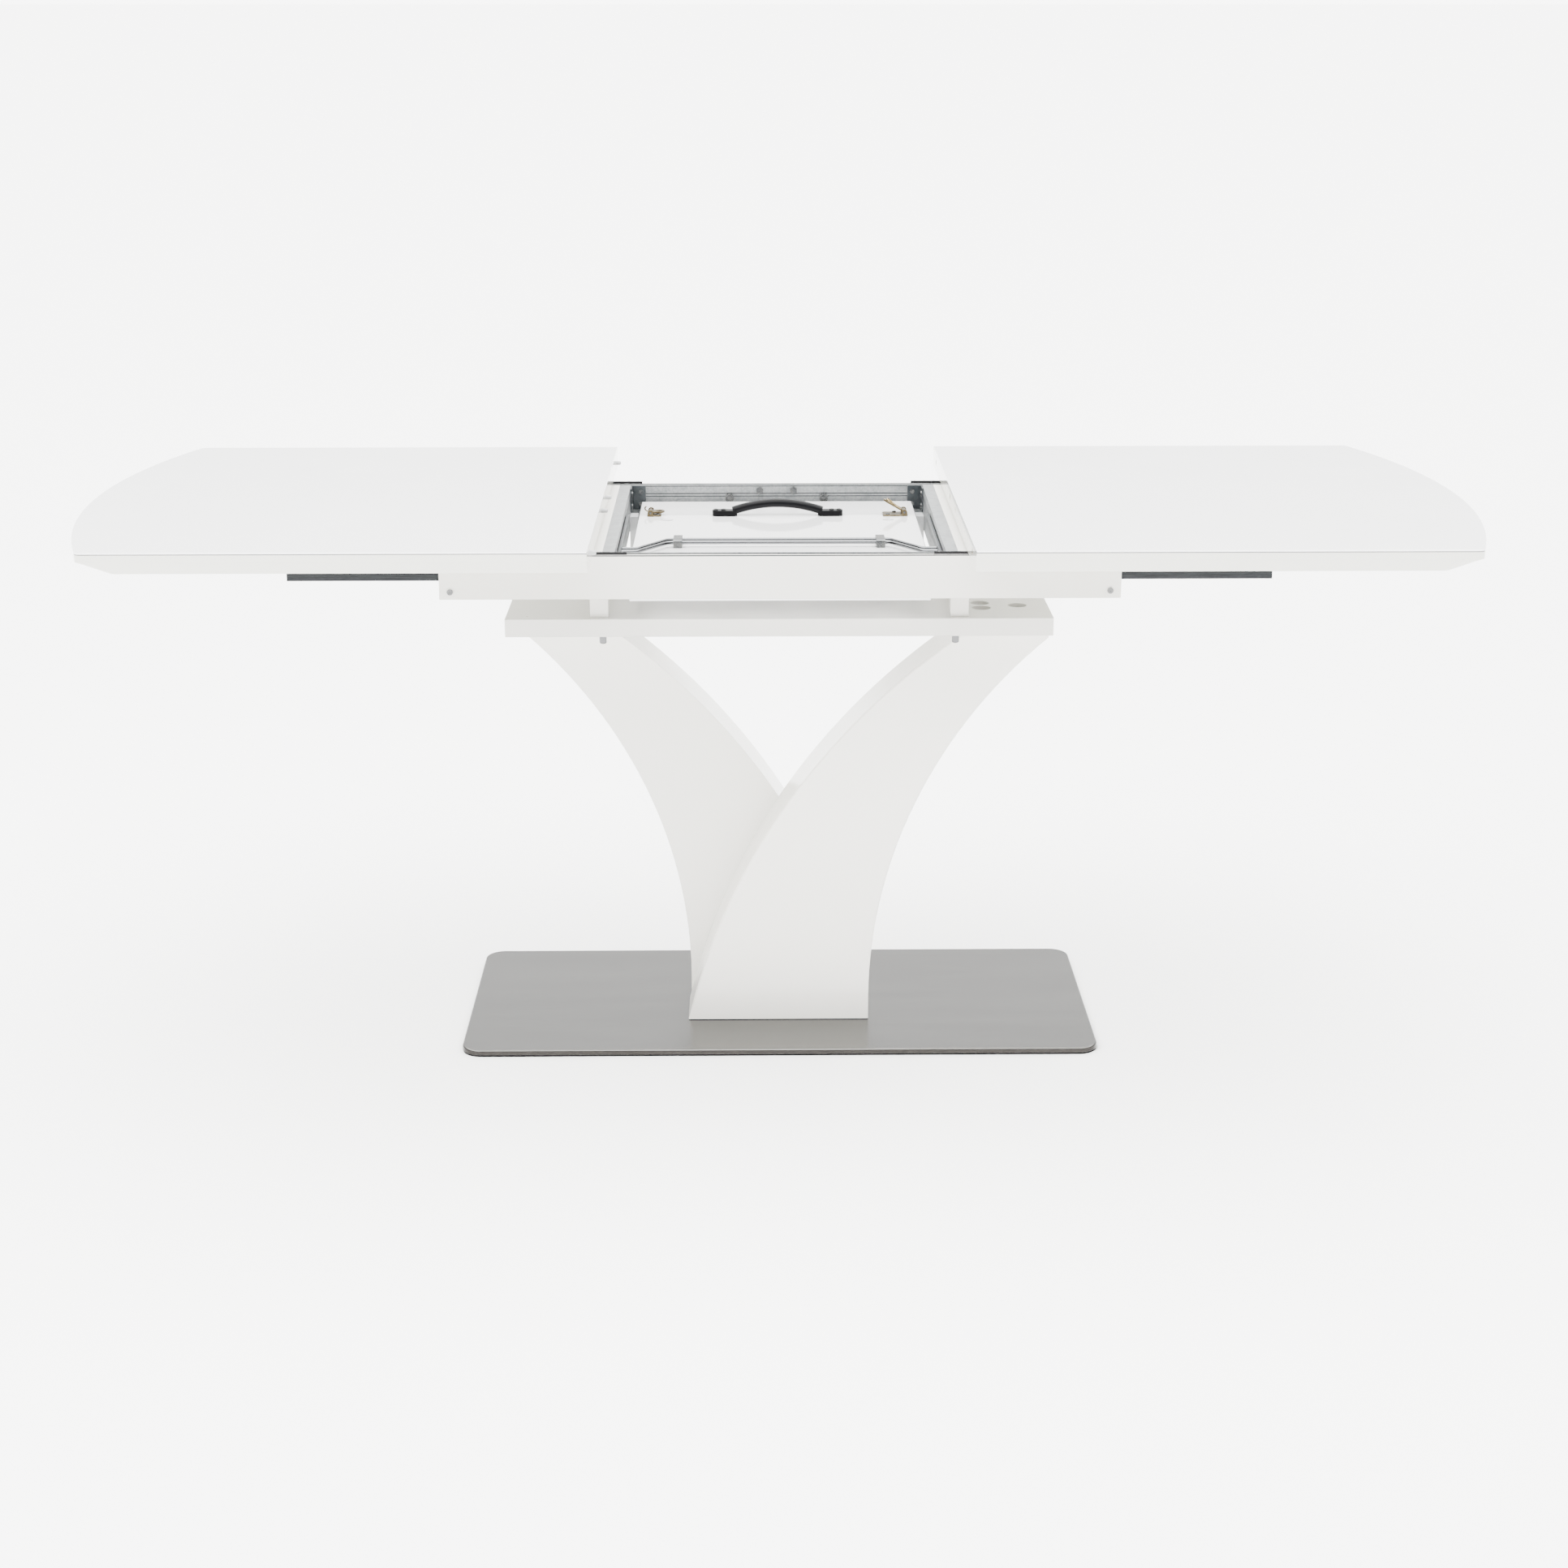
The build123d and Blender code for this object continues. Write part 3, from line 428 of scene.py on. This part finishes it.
# ---------------------------------------------------------------- small fittings
COVER_INNER_X = 0.200  # inner end of the black strips
RIVETS = 4  # on each strip
RIVET_RADIUS, RIVET_HEIGHT = 0.0014, 0.0006
RIVET_INSET = (0.006, 0.002)  # from the strip's ends, from its outer side

LATCH_AXIS = (0.183, 0.131, 0.7105)  # the right lever's pin; the left one mirrors it
BAIL_REACH, BAIL_ANGLE = 0.030, radians(36)
BAIL_HALF, BAIL_WIRE = 0.0062, 0.0016  # half width between the sides, wire diameter
BAIL_SIDES = ((0.2, 0.2), (0.55, 0.5), (0.97, 0.96))  # points of a side, as shares of reach and rise
HOOK_WIRE = 0.0018
HOOK_POINTS = ((0.002, 0.0), (0.0065, 0.0012), (0.0085, 0.0045), (0.0062, 0.0075))  # outwards, up


def add(name, data, body, slot):
    """Put a new piece in the scene, with its finish, on the body that carries it."""
    obj = bpy.data.objects.new(name, data)
    bpy.context.collection.objects.link(obj)
    data.materials.append(FINISHES[slot])
    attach(obj, body)


def wire(name, route, diameter, body, slot):
    """A bent wire through some points, with round bends and closed ends."""
    data = bpy.data.curves.new(name, "CURVE")
    data.dimensions = "3D"
    data.bevel_depth, data.bevel_resolution = diameter / 2, 4
    data.use_fill_caps = True
    data.resolution_u = 8
    line = data.splines.new("BEZIER")
    line.bezier_points.add(len(route) - 1)
    for point, place in zip(line.bezier_points, route):
        point.co = place
        point.handle_left_type = point.handle_right_type = "AUTO"
    add(name, data, body, slot)


def domes(name, places, radius, height, body, slot):
    """Low round rivet heads, one at each place, in a single mesh: the upper halves of flattened balls."""
    mesh = bmesh.new()
    for place in places:
        verts = bmesh.ops.create_uvsphere(mesh, u_segments=20, v_segments=10, radius=radius)["verts"]
        bmesh.ops.delete(mesh, geom=[v for v in verts if v.co.z < -1e-6], context="VERTS")
        verts = [v for v in verts if v.is_valid]
        bmesh.ops.scale(mesh, vec=(1, 1, height / radius), verts=verts)
        bmesh.ops.translate(mesh, vec=place, verts=verts)
    for face in mesh.faces:
        face.smooth = True
    data = bpy.data.meshes.new(name)
    mesh.to_mesh(data)
    mesh.free()
    add(name, data, body, slot)


def cover_rivets():
    """Bright rivet heads in a row along each black strip."""
    outer_x, outer_y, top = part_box("corner_covers")[1]
    from_end, from_side = RIVET_INSET
    first, last = COVER_INNER_X + from_end, outer_x - from_end
    xs = [first + step * (last - first) / (RIVETS - 1) for step in range(RIVETS)]
    y = outer_y - from_side
    places = [(sx * x, sy * y, top) for sx in (-1, 1) for sy in (-1, 1) for x in xs]
    domes("cover_rivets", places, RIVET_RADIUS, RIVET_HEIGHT, "frame", "zinc")


def latch_wires():
    """The bent wire bail beside the raised right lever, and the hook of the left catch."""
    x, y, z = LATCH_AXIS
    reach, rise = BAIL_REACH * cos(BAIL_ANGLE), BAIL_REACH * sin(BAIL_ANGLE)
    side = [(x - out * reach, z + up * rise) for out, up in BAIL_SIDES]
    near = [(a, y - BAIL_HALF, b) for a, b in side]
    far = [(a, y + BAIL_HALF, b) for a, b in reversed(side)]
    wire("latch_bail", near + [(x - reach, y, z + rise)] + far, BAIL_WIRE, "right_latch", "brass")
    hook = [(-x - out, y, z + up) for out, up in HOOK_POINTS]
    wire("catch_hook", hook, HOOK_WIRE, "insert", "bronze")


cover_rivets()
latch_wires()


# ---------------------------------------------------------------- room, light and camera
CAMERA_AT = (-0.038, -3.592, 1.4175)
CAMERA_DOWN, CAMERA_RIGHT = 16.73, 0.73  # degrees
LENS, SENSOR = 59.85, 36  # mm
DOME_LOW, DOME_TOP, DOME_BACK = 0.5, 13.0, 2.0  # strength at eye level, overhead, added at the back
DOME_RIM = 5.4  # added where the dome meets the floor, so that no line shows there
DOME_FADES = (  # along the direction's axis, from, to, strength before, strength after
    ("Z", 0.45, 0.85, DOME_LOW, DOME_TOP),
    ("Y", 0.3, 0.9, 0.0, DOME_BACK),
    ("Z", 0.03, 0.09, DOME_RIM, 0.0),
)
DOME_WHITE = (1.0, 1.0, 0.99, 1)
SOFTBOXES = (  # name, place, size, watts
    ("key", (-2.2, -2.6, 3.2), (2.6, 2.0), 100),
    ("fill", (2.8, -2.4, 2.2), (2.2, 2.2), 30),
)
LIT_POINT = (0, 0, 0.5)  # where the softboxes aim
FLOOR_SIZE = 40000  # so wide that its end is out of sight


def floor():
    bpy.ops.mesh.primitive_plane_add(size=FLOOR_SIZE, location=(0, 0, 0))
    plane = bpy.context.object
    plane.name = "floor"
    s = Shader("floor_paint", (0.93, 0.93, 0.93), 0.7)
    s.roughen(s.noise(6, 4), 0.62, 0.75)
    plane.data.materials.append(s.mat)


def softbox(name, place, size, watts):
    data = bpy.data.lights.new(name, "AREA")
    data.shape = "RECTANGLE"
    data.size, data.size_y = size
    data.energy = watts
    obj = bpy.data.objects.new(name, data)
    bpy.context.collection.objects.link(obj)
    obj.location = place
    obj.rotation_euler = (Vector(LIT_POINT) - Vector(place)).to_track_quat("-Z", "Y").to_euler()


def sky(nodes, links, direction):
    """Strength of the studio dome: the sum of its fades."""
    axes = nodes.new("ShaderNodeSeparateXYZ")
    links.new(direction, axes.inputs["Vector"])
    total = None
    for axis, start, end, before, after in DOME_FADES:
        fade = nodes.new("ShaderNodeMapRange")
        fade.interpolation_type = "SMOOTHSTEP"
        links.new(axes.outputs[axis], fade.inputs["Value"])
        for socket, value in zip(("From Min", "From Max", "To Min", "To Max"), (start, end, before, after)):
            fade.inputs[socket].default_value = value
        strength = fade.outputs["Result"]
        if total is not None:
            added = nodes.new("ShaderNodeMath")
            links.new(total, added.inputs[0])
            links.new(strength, added.inputs[1])
            strength = added.outputs["Value"]
        total = strength
    return total


def room():
    world = bpy.data.worlds.new("studio")
    bpy.context.scene.world = world
    world.use_nodes = True
    nodes, links = world.node_tree.nodes, world.node_tree.links
    direction = nodes.new("ShaderNodeTexCoord").outputs["Generated"]
    background = nodes["Background"]
    background.inputs["Color"].default_value = DOME_WHITE
    links.new(sky(nodes, links, direction), background.inputs["Strength"])
    for box in SOFTBOXES:
        softbox(*box)


def camera():
    data = bpy.data.cameras.new("camera")
    data.lens = LENS
    data.sensor_width = SENSOR
    obj = bpy.data.objects.new("camera", data)
    bpy.context.collection.objects.link(obj)
    obj.location = CAMERA_AT
    obj.rotation_euler = (radians(90 - CAMERA_DOWN), 0, -radians(CAMERA_RIGHT))
    bpy.context.scene.camera = obj


floor()
room()
camera()

bpy.context.view_layer.update()
